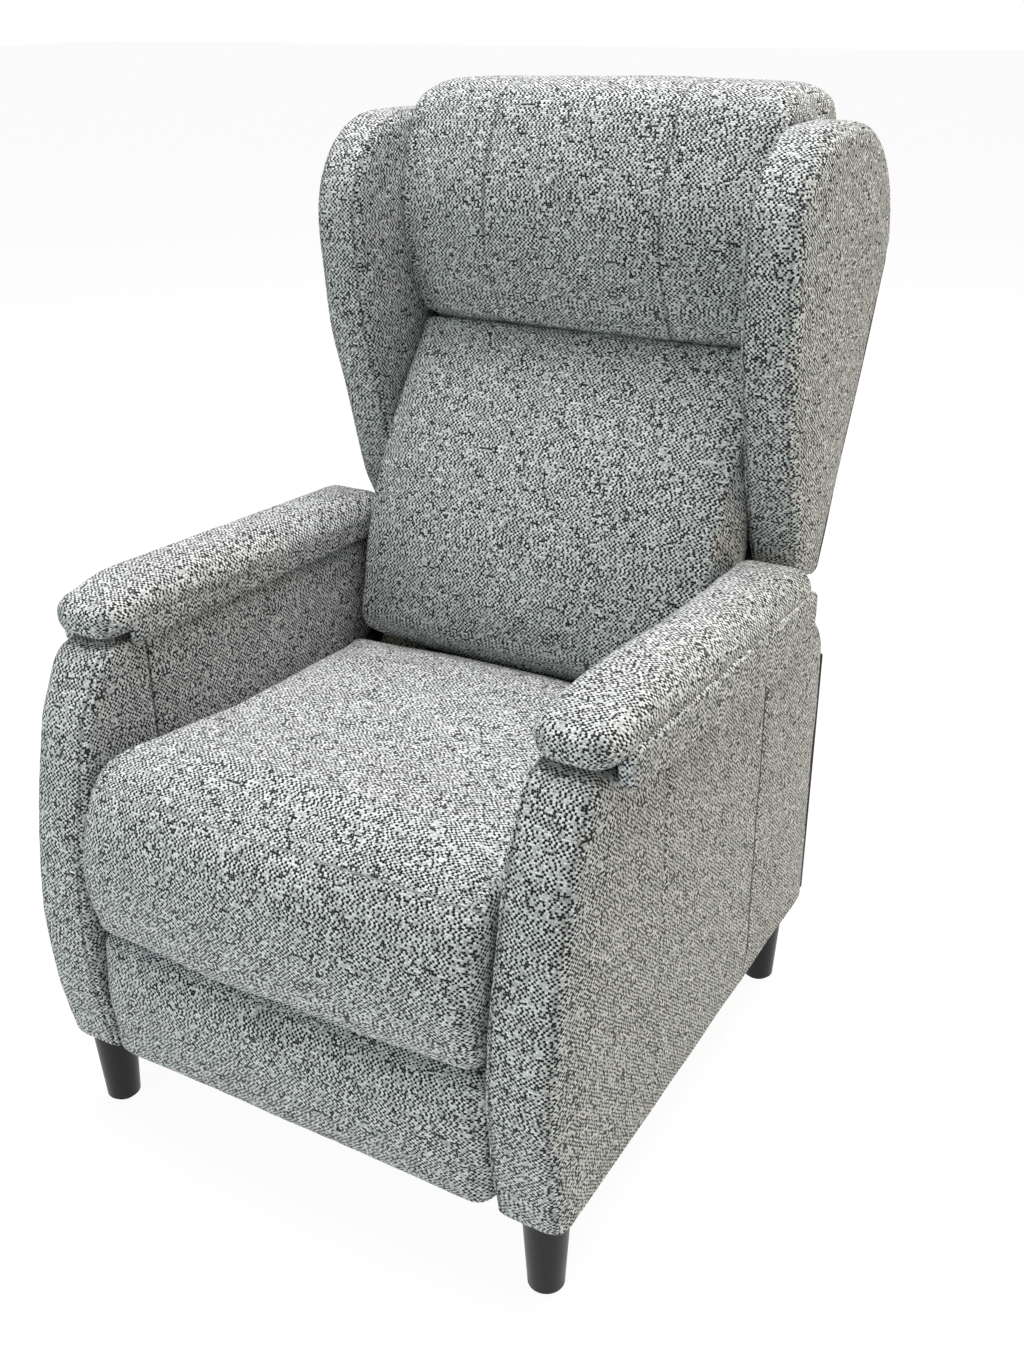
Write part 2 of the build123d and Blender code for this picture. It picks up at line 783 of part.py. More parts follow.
with BuildPart() as back_rails:
    with BuildSketch(back_plane(0)):
        for along in (-back_post_low, lumbar_rail_at, back_post_high - back_rail_height):
            with Locations((0, along)):
                Rectangle(2 * back_post_x, back_rail_height, align=middle_low)
    extrude(amount=back_post_depth)
save(back_rails.part, "back_cross_rails")

webbing_span = back_post_low + back_post_high - webbing_width
with BuildPart() as back_webbing:
    with BuildSketch(back_plane(back_post_depth)):
        for k in range(webbing_count):
            with Locations((0, k * webbing_span / (webbing_count - 1) - back_post_low)):
                Rectangle(2 * (wing_inner_x - soft_gap), webbing_width, align=middle_low)
    extrude(amount=webbing_thickness)
save(back_webbing.part, "back_webbing")

# Wing board, and the padded wing around it
wing_foot = on_back(0, 0)
wing_hip = on_back(wing_hip_along, 0)
wing_tip = lift(wing_tip_y, wing_tip_height)
wing_throat = lift(wing_throat_y, wing_throat_height)
wing_nose = lift(wing_nose_y, wing_nose_height)
wing_top = lift(wing_top_y, wing_top_height)
with BuildSketch() as wing_outline:
    with BuildLine():
        ThreePointArc(wing_throat, lift(wing_cheek_y, wing_cheek_height), wing_nose)
        ThreePointArc(wing_nose, lift(wing_brow_y, wing_brow_height), wing_top)
        ThreePointArc(wing_top, lift(wing_crown_y, wing_crown_height), wing_hip)
        Polyline(wing_hip, wing_foot, wing_tip, wing_throat)
    make_face()
    fillet(corner(wing_outline, wing_throat), wing_throat_radius)
    fillet([corner(wing_outline, p) for p in (wing_nose, wing_top)], wing_blend_radius)

with BuildSketch() as board_outline:
    with BuildLine():
        Polyline(
            on_back(wing_board_margin, 0),
            on_back(back_post_high, 0),
            (wing_top[0] + wing_board_margin, wing_top[1] - wing_board_margin),
            (wing_nose[0] + wing_board_margin, wing_nose[1]),
            (wing_throat[0] + wing_board_margin, wing_throat[1] + wing_board_margin),
            close=True,
        )
    make_face()

with BuildPart() as wing_board:
    with BuildSketch(side_plane(back_bracket_x)):
        add(board_outline.sketch)
    extrude(amount=wing_board_thickness)
save_pair(wing_board.part, "wing_board")

with BuildPart() as wing_cover:
    with BuildSketch(side_plane(wing_inner_x)):
        add(wing_outline.sketch)
    extrude(amount=wing_width)
    for edge_x in (wing_inner_x, wing_outer_x):
        rim = wing_cover.edges().filter_by(lambda e: abs(e.center().X - edge_x) < 1)
        rear = rim.filter_by(GeomType.LINE).sort_by(SortBy.LENGTH)[-1]
        fillet([e for e in rim if e.length != rear.length], wing_round)
    with BuildSketch(back_plane(0)):
        with Locations((back_post_x, -back_post_low)):
            Rectangle(back_post_width, back_post_low + back_post_high + soft_gap, align=flat_low)
    extrude(amount=back_post_depth + soft_gap, mode=Mode.SUBTRACT)
    with BuildSketch(side_plane(back_bracket_x)):
        add(board_outline.sketch)
    extrude(amount=wing_board_thickness, mode=Mode.SUBTRACT)
save_pair(wing_cover.part, "wing_cover")

# Back cushion: crowned and drawn in, on the webbing between the wings
cushion_seat = back_post_depth + webbing_thickness + soft_gap
back_cushion_foot = on_back(-back_cushion_low, back_cushion_edge)
crease = on_back(crease_height, crease_depth)
cushion_middle = (crease_height - back_cushion_low) / 2
back_crown_radius = crown_radius(2 * back_cushion_half, back_cushion_crown)
back_bulge = back_cushion_edge + back_cushion_bulge
with BuildPart() as back_cushion:
    with BuildSketch(side_plane(-back_cushion_half)) as back_side:
        with BuildLine():
            ThreePointArc(back_cushion_foot, on_back(cushion_middle, back_bulge), crease)
            Polyline(
                crease,
                on_back(crease_height, cushion_seat),
                on_back(-back_cushion_low, cushion_seat),
                back_cushion_foot,
            )
        make_face()
        fillet(corner(back_side, back_cushion_foot), back_cushion_round)
    extrude(amount=2 * back_cushion_half)
    with BuildSketch(back_plane(0)):
        add(drawn_in(back_cushion_half, -back_cushion_low, crease_height))
    extrude(amount=2 * seat_width, both=True, mode=Mode.INTERSECT)
    with BuildSketch(section_plane(on_back(0, back_bulge), on_back(crease_height, back_bulge))):
        with Locations((0, -back_crown_radius - crown_shave)):
            Circle(back_crown_radius)
    extrude(amount=2 * seat_width, both=True, mode=Mode.INTERSECT)
save(back_cushion.part, "back_cushion")

# Headrest: a plump roll over the top rail, between the wings, with a sewn channel at each seam
headrest_brow = lift(headrest_brow_y, headrest_brow_height)
headrest_top = lift(headrest_top_y, headrest_top_height)
headrest_nape = lift(headrest_nape_y, headrest_nape_height)
headrest_foot = on_back(crease_height + crease_gap, crease_depth)
headrest_heart = ((headrest_brow[0] + wing_hip[0]) / 2, (headrest_brow[1] + wing_hip[1]) / 2)
roll_arcs = (
    (headrest_foot, lift(headrest_cheek_y, headrest_cheek_height), headrest_brow),
    (headrest_brow, lift(headrest_crest_y, headrest_crest_height), headrest_top),
    (headrest_top, lift(headrest_poll_y, headrest_poll_height), headrest_nape),
)
roll_rear = (
    headrest_nape,
    wing_hip,
    on_back(back_post_high + soft_gap, 0),
    on_back(back_post_high + soft_gap, cushion_seat),
    on_back(crease_height + crease_gap, cushion_seat),
    headrest_foot,
)


def pulled_in(point, depth):
    share = 1 - depth / math.dist(point, headrest_heart)
    return tuple(middle + (place - middle) * share for place, middle in zip(point, headrest_heart))


def roll_profile(depth):
    with BuildSketch(mode=Mode.PRIVATE) as profile:
        with BuildLine():
            for arc in roll_arcs:
                ThreePointArc(*[pulled_in(point, depth) for point in arc])
            Polyline(*[pulled_in(point, depth) for point in roll_rear])
        make_face()
    return profile.sketch


with BuildPart() as headrest:
    with BuildSketch(side_plane(-back_cushion_half)):
        add(roll_profile(0))
    extrude(amount=2 * back_cushion_half)
    for x in (-headrest_seam_x, headrest_seam_x):
        with BuildSketch(side_plane(x - channel_width / 2)):
            with Locations(headrest_heart):
                Circle(seat_width)
            add(roll_profile(channel_depth), mode=Mode.SUBTRACT)
        extrude(amount=channel_width, mode=Mode.SUBTRACT)
    with BuildSketch(Plane.XZ) as head_front:
        add(drawn_in(back_cushion_half, headrest_foot[1], headrest_top[1]))
        fillet(head_front.vertices().group_by(Axis.Y)[-1], headrest_round)
    extrude(amount=2 * seat_width, both=True, mode=Mode.INTERSECT)
save(headrest.part, "headrest_cushion")

# Outside back: a lining over the rear of the posts and wings
lining_half = wing_outer_x - lining_hem
with BuildPart() as back_lining:
    with BuildSketch(back_plane(0)):
        with Locations((0, -back_post_low)):
            Rectangle(2 * back_cushion_half, back_post_low + wing_hip_along, align=middle_low)
        with Locations((0, lining_hem)):
            Rectangle(2 * lining_half, wing_hip_along - lining_hem, align=middle_low)
    extrude(amount=-lining_thickness)
save(back_lining.part, "back_lining")

# Footrest links: main links with their tube, front links, and the rivets at knee and foot
tube_turn = math.degrees(math.atan2(knee_pivot[1] - main_pivot[1], main_pivot[0] - knee_pivot[0]))
tube_place = along_angle(main_pivot, link_tube_reach, tube_turn)
main_bar = link(main_pivot, knee_pivot, main_link_x)
save(both_sides(main_bar), "main_links")

with BuildPart() as link_tube:
    with BuildSketch(side_plane(-main_link_x)):
        with Locations(tube_place):
            Circle(link_tube_radius)
            Circle(link_tube_radius - tube_wall, mode=Mode.SUBTRACT)
    extrude(amount=2 * main_link_x)
save(link_tube.part, "main_link_tube")

save(both_sides(rivet(knee_pivot, front_link_x - rivet_head, seat_plate_x - plate_gap)), "knee_rivets")
save(both_sides(link(knee_pivot, footrest_pivot, front_link_x)), "front_links")
foot_rivet = rivet(footrest_pivot, foot_bracket_x - rivet_head, front_link_x + plate_thickness)
save(both_sides(foot_rivet), "footrest_rivets")

# Footrest: board, crowned pad and the brackets behind the board
board_front_y = footrest_front_y + footrest_pad_thickness
board_rear_y = board_front_y + footrest_board_thickness
footrest_height = footrest_top_z - footrest_bottom_z
footrest_middle_z = (footrest_top_z + footrest_bottom_z) / 2
with BuildPart() as footrest_board:
    with Locations((0, board_front_y, footrest_bottom_z)):
        Box(2 * cushion_half, footrest_board_thickness, footrest_height, align=facing)
save(footrest_board.part, "footrest_board")

footrest_crown_radius = crown_radius(2 * cushion_half, footrest_crown)
with BuildPart() as footrest_pad:
    with BuildSketch(side_plane(-cushion_half)) as foot_side:
        with BuildLine():
            ThreePointArc(
                (footrest_front_y + footrest_crown, footrest_bottom_z),
                (footrest_front_y, footrest_middle_z),
                (footrest_front_y + footrest_crown, footrest_top_z),
            )
            Polyline(
                (footrest_front_y + footrest_crown, footrest_top_z),
                (board_front_y, footrest_top_z),
                (board_front_y, footrest_bottom_z),
                (footrest_front_y + footrest_crown, footrest_bottom_z),
            )
        make_face()
        for z in (footrest_top_z, footrest_bottom_z):
            fillet(corner(foot_side, (footrest_front_y + footrest_crown, z)), footrest_round)
    extrude(amount=2 * cushion_half)
    with BuildSketch(Plane.XY.offset(footrest_bottom_z)):
        with Locations((0, footrest_front_y + footrest_crown_radius)):
            Circle(footrest_crown_radius)
    extrude(amount=footrest_height, mode=Mode.INTERSECT)
save(footrest_pad.part, "footrest_pad")

with BuildPart() as footrest_bracket:
    with BuildSketch(side_plane(foot_bracket_x)):
        with BuildLine():
            Line(
                (board_rear_y, footrest_pivot[1] - footrest_bracket_half),
                (board_rear_y, footrest_pivot[1] + footrest_bracket_half),
            )
        with Locations(footrest_pivot):
            Circle(link_radius)
        make_hull()
        with Locations(footrest_pivot):
            Circle(pin_radius + pin_clearance, mode=Mode.SUBTRACT)
    extrude(amount=plate_thickness)
save(both_sides(footrest_bracket.part), "footrest_brackets")
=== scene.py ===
import json
import math
import bmesh
import bpy
import numpy as np
from mathutils import Matrix, Vector, noise


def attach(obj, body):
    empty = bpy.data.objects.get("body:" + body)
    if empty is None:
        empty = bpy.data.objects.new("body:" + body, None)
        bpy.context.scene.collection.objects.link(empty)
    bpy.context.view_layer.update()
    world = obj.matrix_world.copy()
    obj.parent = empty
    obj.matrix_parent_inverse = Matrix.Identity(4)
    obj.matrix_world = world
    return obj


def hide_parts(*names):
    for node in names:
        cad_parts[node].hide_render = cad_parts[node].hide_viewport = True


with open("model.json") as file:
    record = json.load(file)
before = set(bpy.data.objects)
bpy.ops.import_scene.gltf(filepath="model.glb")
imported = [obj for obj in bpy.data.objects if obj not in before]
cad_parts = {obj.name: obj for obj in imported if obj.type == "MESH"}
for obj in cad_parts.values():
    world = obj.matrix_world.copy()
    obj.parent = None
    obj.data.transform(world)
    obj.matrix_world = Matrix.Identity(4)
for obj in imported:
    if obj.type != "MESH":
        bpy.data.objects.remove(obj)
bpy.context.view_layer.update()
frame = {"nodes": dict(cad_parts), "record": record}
nodes = frame["nodes"]
print("frame loaded,", len(nodes), "nodes")


class Wire:  # a shader socket that takes part in sums and makes further nodes
    def __init__(self, tree, socket=None):
        self.tree = tree
        self.socket = socket

    def node(self, kind, out=0, sets=None, **links):
        made = self.tree.nodes.new("ShaderNode" + kind)
        for name, value in (sets or {}).items():
            setattr(made, name, value)
        for name, value in links.items():
            place = int(name[1:]) if name[1:].isdigit() else name.replace("_", " ")
            if isinstance(value, Wire):
                self.tree.links.new(value.socket, made.inputs[place])
            else:
                made.inputs[place].default_value = value
        return Wire(self.tree, made.outputs[out])

    def other(self, out):  # another output of the same node
        return Wire(self.tree, self.socket.node.outputs[out])

    def maths(self, operation, second=0.0, flip=False):
        pair = (second, self) if flip else (self, second)
        return self.node("Math", sets={"operation": operation}, i0=pair[0], i1=pair[1])

    def __add__(self, second):
        return self.maths("ADD", second)

    def __sub__(self, second):
        return self.maths("SUBTRACT", second)

    def __rsub__(self, second):
        return self.maths("SUBTRACT", second, True)

    def __mul__(self, second):
        return self.maths("MULTIPLY", second)

    def __truediv__(self, second):
        return self.maths("DIVIDE", second)

    def __pow__(self, second):
        return self.maths("POWER", second)

    def __mod__(self, second):
        return self.maths("FLOORED_MODULO", second)

    def __abs__(self):
        return self.maths("ABSOLUTE")

    __radd__ = __add__
    __rmul__ = __mul__

    def steps(self, low, high):  # 0 below low, 1 above high, smooth between
        sets = {"interpolation_type": "SMOOTHSTEP"}
        return self.node("MapRange", sets=sets, Value=self, From_Min=low, From_Max=high)

    def blend(self, first, second):  # first where this is 0, second where it is 1
        return self.node("Mix", out=2, sets={"data_type": "RGBA"}, i0=self, i6=first, i7=second)


def newMaterial(name):
    material = bpy.data.materials.new(name)
    material.use_nodes = True
    shader = material.node_tree.nodes["Principled BSDF"]
    return material, shader, Wire(material.node_tree)


def feed(shader, name, wire):
    wire.tree.links.new(wire.socket, shader.inputs[name])


# chunky tweed: black floats dot a pale ground, in loose turns along rows that slip past each other
tweed = {
    "pitchAcross": 0.0027, "pitchAlong": 0.0024, "slip": 0.8, "order": 0.82,
    "wander": 0.0032, "wanderScale": 90.0, "detail": 3.0,
    "black": (0.012, 0.013, 0.015, 1), "white": (0.95, 0.96, 0.95, 1), "ash": (0.60, 0.61, 0.61, 1),
    "dotSide": 0.55, "dotRise": 0.61, "dotEdge": (-0.05, 0.28), "uneven": 0.55, "unevenMiddle": 0.55,
    "dropEdge": (0.81, 0.96), "dropPale": 0.8, "ashEdge": (0.05, 0.95),
    "slub": 0.45, "slubScale": 30.0, "slubStretch": 8.0,
    "humpSide": 0.46, "humpPale": 0.16, "humpRise": 0.52, "humpLeast": 0.7,
    "gap": 0.42, "gapEdge": 0.6, "fuzz": 0.4, "fuzzScale": 1400.0, "bump": 0.7, "relief": 0.0012,
    "seamEdge": (0.0007, 0.00308), "seamShade": 0.92,
}


def noise2(cloth, scale, detail, out=0):
    flat = {"noise_dimensions": "2D"}
    return cloth.node("TexNoise", out=out, sets=flat, Vector=cloth, Scale=scale, Detail=detail)


# seams are (axis, place, strength of the painted shade, least and most distance from the middle plane)
def tweedMaterial(name, seams=()):
    t = tweed
    material, shader, start = newMaterial(name)
    cloth = start.node("UVMap", sets={"uv_map": "weave"})
    drift = noise2(cloth, t["wanderScale"], t["detail"], 1)
    drift = drift.node("VectorMath", sets={"operation": "SUBTRACT"}, i0=drift, i1=(0.5, 0.5, 0.5))
    drift = drift.node("VectorMath", sets={"operation": "SCALE"}, i0=drift, Scale=t["wander"])
    place = cloth.node("VectorMath", sets={"operation": "ADD"}, i0=cloth, i1=drift)
    across = place.node("SeparateXYZ", Vector=place)
    row = across.other(1) / t["pitchAlong"]
    rowAt = row.maths("FLOOR")
    slip = row.node("TexWhiteNoise", sets={"noise_dimensions": "1D"}, W=rowAt)
    column = across / t["pitchAcross"] + slip * t["slip"]
    columnAt = column.maths("FLOOR")
    side = column.maths("FRACT") - 0.5
    rise = row.maths("FRACT") - 0.5
    turn = (columnAt + rowAt) % 2.0
    cell = column.node("CombineXYZ", X=columnAt, Y=rowAt)
    chance = cell.node("TexWhiteNoise", sets={"noise_dimensions": "2D"}, Vector=cell)
    more = chance.other(1).node("SeparateXYZ", out=1, Vector=chance.other(1))
    pale = (more.other(2) + turn * t["order"]).maths("GREATER_THAN", 0.5 + 0.5 * t["order"])
    weft = cloth.node("Mapping", Vector=cloth, Scale=(1.0, t["slubStretch"], 1.0))
    warp = cloth.node("Mapping", Vector=cloth, Scale=(t["slubStretch"], 1.0, 1.0))
    streak = noise2(weft, t["slubScale"], t["detail"]) + noise2(warp, t["slubScale"], t["detail"])
    tone = (streak - 1.0) * t["slub"]
    dot = 1.0 - (side / t["dotSide"]) ** 2.0 - (rise / t["dotRise"]) ** 2.0
    dot = dot + (more - t["unevenMiddle"]) * t["uneven"]
    dropped = (chance + tone).steps(*t["dropEdge"])
    blackness = dot.steps(*t["dotEdge"]) * (1.0 - pale) * (1.0 - t["dropPale"] * dropped)
    ground = (more + tone).steps(*t["ashEdge"]).blend(t["white"], t["ash"])
    hump = 1.0 - (side / (t["humpSide"] + t["humpPale"] * pale)) ** 2.0 - (rise / t["humpRise"]) ** 2.0
    hump = hump.maths("MAXIMUM", 0.0) ** 0.5
    depth = hump * (t["humpLeast"] + (1.0 - t["humpLeast"]) * more)
    # painted shade between the yarns: the colour darkens where each yarn's hump falls away into the gaps; a
    # fine random fuzz of tone follows
    shade = depth.steps(0.0, t["gapEdge"]) * t["gap"] + (1.0 - t["gap"])
    shade = shade * (1.0 - t["fuzz"] / 2 + t["fuzz"] * noise2(cloth, t["fuzzScale"], 1.0))
    spot = start.node("TexCoord", out=3)
    where = spot.node("SeparateXYZ", Vector=spot)
    outward = abs(where)
    for axis, at, strength, least, most in seams:  # sewn lines: painted shade in the crease where two cloths meet
        line = outward if axis == 0 else where.other(axis)
        line = 1.0 - abs(line - at).steps(*t["seamEdge"])
        line = line * outward.maths("GREATER_THAN", least) * outward.maths("LESS_THAN", most)
        shade = shade * (1.0 - line * (t["seamShade"] * strength))
    colour = blackness.blend(ground, t["black"])
    sets = {"data_type": "RGBA", "blend_type": "MULTIPLY"}
    colour = colour.node("Mix", out=2, sets=sets, i0=1.0, i6=colour, i7=shade)
    feed(shader, "Base Color", colour)
    feed(shader, "Normal", depth.node("Bump", Height=depth, Strength=t["bump"], Distance=t["relief"]))
    shader.inputs["Roughness"].default_value = 0.92
    shader.inputs["Specular IOR Level"].default_value = 0.18
    shader.inputs["Sheen Weight"].default_value = 0.1
    return material


# plain black cloth of the outside back and the base
def liningMaterial(name):
    material, shader, start = newMaterial(name)
    spot = start.node("TexCoord", out=3)
    thread = spot.node("TexNoise", Vector=spot, Scale=900.0, Detail=2.0)
    fold = spot.node("TexNoise", Vector=spot, Scale=9.0, Detail=3.0)
    tone = (thread - 0.5) * 0.03 + (fold - 0.5) * 0.02 + 0.034
    feed(shader, "Base Color", tone.node("CombineColor", Red=tone, Green=tone, Blue=tone * 1.06))
    feed(shader, "Roughness", 0.85 + (fold - 0.5) * 0.2)
    feed(shader, "Normal", thread.node("Bump", Height=thread, Strength=0.35, Distance=0.0006))
    return material


# sawn softwood and plywood of the hidden frame
def woodMaterial(name, pale, dark, along):
    material, shader, start = newMaterial(name)
    spot = start.node("TexCoord", out=3)
    grain = spot.node("Mapping", Vector=spot, Scale=along)
    rings = grain.node("TexNoise", Vector=grain, Scale=30.0, Detail=5.0, Distortion=1.2)
    pores = grain.node("TexNoise", Vector=grain, Scale=220.0, Detail=2.0)
    feed(shader, "Base Color", rings.steps(0.35, 0.68).blend(pale, dark))
    feed(shader, "Roughness", 0.62 + pores * 0.25)
    feed(shader, "Normal", pores.node("Bump", Height=pores + rings, Strength=0.25, Distance=0.0008))
    return material


# black paint and zinc plate of the folding mechanism
def steelMaterial(name, colour, metallic, rough):
    material, shader, start = newMaterial(name)
    spot = start.node("TexCoord", out=3)
    cast = spot.node("TexNoise", Vector=spot, Scale=60.0, Detail=4.0)
    speck = spot.node("TexNoise", Vector=spot, Scale=700.0, Detail=2.0)
    worn = tuple(0.6 * c + 0.08 for c in colour[:3]) + (1,)
    feed(shader, "Base Color", cast.steps(0.62, 0.78).blend(colour, worn))
    feed(shader, "Roughness", rough + (cast - 0.5) * 0.25)
    feed(shader, "Normal", speck.node("Bump", Height=speck, Strength=0.12, Distance=0.0004))
    shader.inputs["Metallic"].default_value = metallic
    return material


# satin black of the legs
def legMaterial(name):
    material, shader, start = newMaterial(name)
    spot = start.node("TexCoord", out=3)
    haze = spot.node("TexNoise", Vector=spot, Scale=45.0, Detail=4.0)
    grain = spot.node("TexNoise", Vector=spot, Scale=600.0, Detail=2.0)
    foot = spot.node("SeparateXYZ", out=2, Vector=spot)
    scuff = (1.0 - foot.steps(0.004, 0.03)) * haze.steps(0.5, 0.7)
    feed(shader, "Base Color", scuff.blend((0.006, 0.006, 0.0065, 1), (0.04, 0.039, 0.037, 1)))
    feed(shader, "Roughness", 0.34 + (haze - 0.5) * 0.16 + scuff * 0.25)
    feed(shader, "Normal", grain.node("Bump", Height=grain, Strength=0.05, Distance=0.0004))
    shader.inputs["Specular IOR Level"].default_value = 0.3
    return material


def webbingMaterial(name):
    material, shader, start = newMaterial(name)
    spot = start.node("TexCoord", out=3)
    rib = spot.node("TexWave", out=1, sets={"bands_direction": "X"}, Vector=spot, Scale=160.0, Distortion=0.6)
    feed(shader, "Base Color", rib.blend((0.05, 0.05, 0.052, 1), (0.14, 0.14, 0.14, 1)))
    feed(shader, "Normal", rib.node("Bump", Height=rib, Strength=0.4, Distance=0.0006))
    shader.inputs["Roughness"].default_value = 0.8
    return material


# outlines are (y, z) corners, each with the radius that rounds it
def rounded(corners, steps=7):
    line = []
    for k, (y, z, radius) in enumerate(corners):
        here = Vector((y, z))
        back = (Vector(corners[k - 1][:2]) - here).normalized()
        ahead = (Vector(corners[(k + 1) % len(corners)][:2]) - here).normalized()
        half = back.angle(ahead) / 2
        reach = radius / math.tan(half)
        middle = here + (back + ahead).normalized() * (radius / math.sin(half))
        start = here + back * reach - middle
        end = here + ahead * reach - middle
        turn = start.angle_signed(end)
        for step in range(steps + 1):
            spun = start.copy()
            spun.rotate(Matrix.Rotation(-turn * step / steps, 2))
            line.append(middle + spun)
    return line


def newPiece(name, bm):
    mesh = bpy.data.meshes.new(name)
    bmesh.ops.recalc_face_normals(bm, faces=bm.faces)
    bm.to_mesh(mesh)
    bm.free()
    piece = bpy.data.objects.new(name, mesh)
    bpy.context.scene.collection.objects.link(piece)
    return piece


def settle(piece):  # makes what the modifiers give the piece's own mesh
    graph = bpy.context.evaluated_depsgraph_get()
    mesh = bpy.data.meshes.new_from_object(piece.evaluated_get(graph))
    old = piece.data
    piece.modifiers.clear()
    piece.data = mesh
    bpy.data.meshes.remove(old)


def points(piece):
    co = np.empty(len(piece.data.vertices) * 3)
    piece.data.vertices.foreach_get("co", co)
    return co.reshape(-1, 3)


def normals(piece):
    way = np.empty(len(piece.data.vertices) * 3, np.float32)
    piece.data.vertex_normals.foreach_get("vector", way)
    return way.reshape(-1, 3).astype(float)


def setPoints(piece, co):
    piece.data.vertices.foreach_set("co", co.ravel())
    piece.data.update()


# how near the outline a point counts as on it, how crowns fall off, and which normals make a rim or a side
form = {"onLine": 0.0008, "crownPower": 2.4, "rim": (0.5, 0.88), "sideLeast": 0.72}


def faces(piece, axis, way, least=0.5):  # the points that face that way along the axis
    return way * normals(piece)[:, axis] > least


def onRim(piece):  # the points of the rounded edge between a side and the strip
    across = np.abs(normals(piece)[:, 0])
    return (across > form["rim"][0]) & (across < form["rim"][1])


# for each point: distance to the outline, way along it, the near point and the inward way there
# stretches that lie wholly under the height below are left out
def nearest(outline, yz, below=-1.0):
    line = np.array([tuple(p) for p in outline] + [tuple(outline[0])])
    span = line[1:] - line[:-1]
    length = np.linalg.norm(span, axis=1)
    reached = np.concatenate(([0], np.cumsum(length)[:-1]))
    turn = np.sign(np.sum(line[:-1, 0] * line[1:, 1] - line[1:, 0] * line[:-1, 1]))
    best = np.full(len(yz), 1e9)
    along = np.zeros(len(yz))
    foot, inward = np.zeros((len(yz), 2)), np.zeros((len(yz), 2))
    for k in range(len(span)):
        if length[k] < 1e-9 or max(line[k, 1], line[k + 1, 1]) < below:
            continue
        share = np.clip(((yz - line[k]) @ span[k]) / length[k] ** 2, 0, 1)
        near = line[k] + share[:, None] * span[k]
        gap = np.linalg.norm(yz - near, axis=1)
        closer = gap < best
        best[closer] = gap[closer]
        along[closer] = reached[k] + share[closer] * length[k]
        foot[closer] = near[closer]
        inward[closer] = turn * np.array((-span[k, 1], span[k, 0])) / length[k]
    return best, along, foot, inward


# a stuffed form: the side outline between two places across the chair, its rims rounded
def slab(name, outline, ends, voxel, smooth, below=-1.0):
    (low, lowRound), (high, highRound) = ends
    bm = bmesh.new()
    face = bm.faces.new([bm.verts.new((low, y, z)) for y, z in outline])
    raised = bmesh.ops.extrude_face_region(bm, geom=[face])
    moved = [v for v in raised["geom"] if isinstance(v, bmesh.types.BMVert)]
    bmesh.ops.translate(bm, verts=moved, vec=(high - low, 0, 0))
    piece = newPiece(name, bm)
    grid = piece.modifiers.new("grid", "REMESH")
    grid.mode = "VOXEL"
    grid.voxel_size = voxel
    settle(piece)
    co = points(piece)
    gap, _, foot, inward = nearest(outline, co[:, 1:], below)
    inside = gap > form["onLine"]
    inward[inside] = ((co[:, 1:] - foot) / np.maximum(gap, 1e-9)[:, None])[inside]
    for x, way, size in ((low, 1, lowRound), (high, -1, highRound)):
        a = size - gap
        b = size - np.maximum(way * (co[:, 0] - x), 0)
        near = (a > 0) & (b > 0)
        scale = np.maximum(a, b) / np.maximum(np.hypot(a, b), 1e-9)
        co[near, 0] = (x + way * (size - b * scale))[near]
        co[near, 1:] = (foot + inward * (size - a * scale)[:, None])[near]
    setPoints(piece, co)
    relax(piece, smooth)
    return piece


def relax(piece, times):  # evens the surface out, each point moving half way to its neighbours' mean
    pairs = np.empty(len(piece.data.edges) * 2, np.int32)
    piece.data.edges.foreach_get("vertices", pairs)
    one, two = pairs.reshape(-1, 2).T
    co = points(piece)
    count = np.bincount(pairs, minlength=len(co))[:, None]
    for _ in range(times):
        total = np.stack([np.bincount(one, co[two, k], len(co)) + np.bincount(two, co[one, k], len(co))
                          for k in range(3)], axis=1)
        co = (co + total / np.maximum(count, 1)) / 2
    setPoints(piece, co)


# rounds a corner as seen along another axis, by drawing the piece in towards its middle
def narrow(piece, axis, at, way, radius, middle, half):
    co = points(piece)
    far = np.clip(way * (co[:, axis] - at), 0, radius)
    width = half - radius + np.sqrt(np.maximum(radius ** 2 - (radius - far) ** 2, 0))
    co[:, 0] = middle + (co[:, 0] - middle) * width / half
    setPoints(piece, co)


# draws the front and top in towards both sides, so the middle stands proud
def crown(piece, half, front, top):
    co, way = points(piece), normals(piece)
    amount = front * np.clip(-way[:, 1], 0, 1) + top * np.clip(way[:, 2], 0, 1)
    co -= way * (amount * (np.abs(co[:, 0]) / half) ** form["crownPower"])[:, None]
    setPoints(piece, co)


clothRun = {"frames": 12, "quality": 3, "stiffness": 22.0, "shear": 12.0, "bend": 2.0, "mass": 0.35}


# air pressure swells the cover between its held seams, by no more than cap
def puff(piece, held, pressure, cap):
    group = piece.vertex_groups.new(name="held")
    group.add([int(i) for i in np.flatnonzero(held)], 1.0, "REPLACE")
    before = points(piece)
    cloth = piece.modifiers.new("puff", "CLOTH")
    settings = cloth.settings
    settings.quality = clothRun["quality"]
    settings.mass = clothRun["mass"]
    settings.tension_stiffness = settings.compression_stiffness = clothRun["stiffness"]
    settings.shear_stiffness = clothRun["shear"]
    settings.bending_stiffness = clothRun["bend"]
    settings.use_pressure = True
    settings.uniform_pressure_force = pressure
    settings.vertex_group_mass = "held"
    settings.effector_weights.gravity = 0
    cloth.point_cache.frame_start = 1
    cloth.point_cache.frame_end = clothRun["frames"]
    for step in range(1, clothRun["frames"] + 1):
        bpy.context.scene.frame_set(step)
    settle(piece)
    bpy.context.scene.frame_set(1)
    moved = points(piece) - before
    far = np.linalg.norm(moved, axis=1)
    moved *= (np.minimum(far, cap) / np.maximum(far, 1e-9))[:, None]
    setPoints(piece, before + moved)
    mean, most = (round(1000 * float(size), 1) for size in (far.mean(), far.max()))
    print(piece.name, "swelled", mean, "to", most, "mm", flush=True)


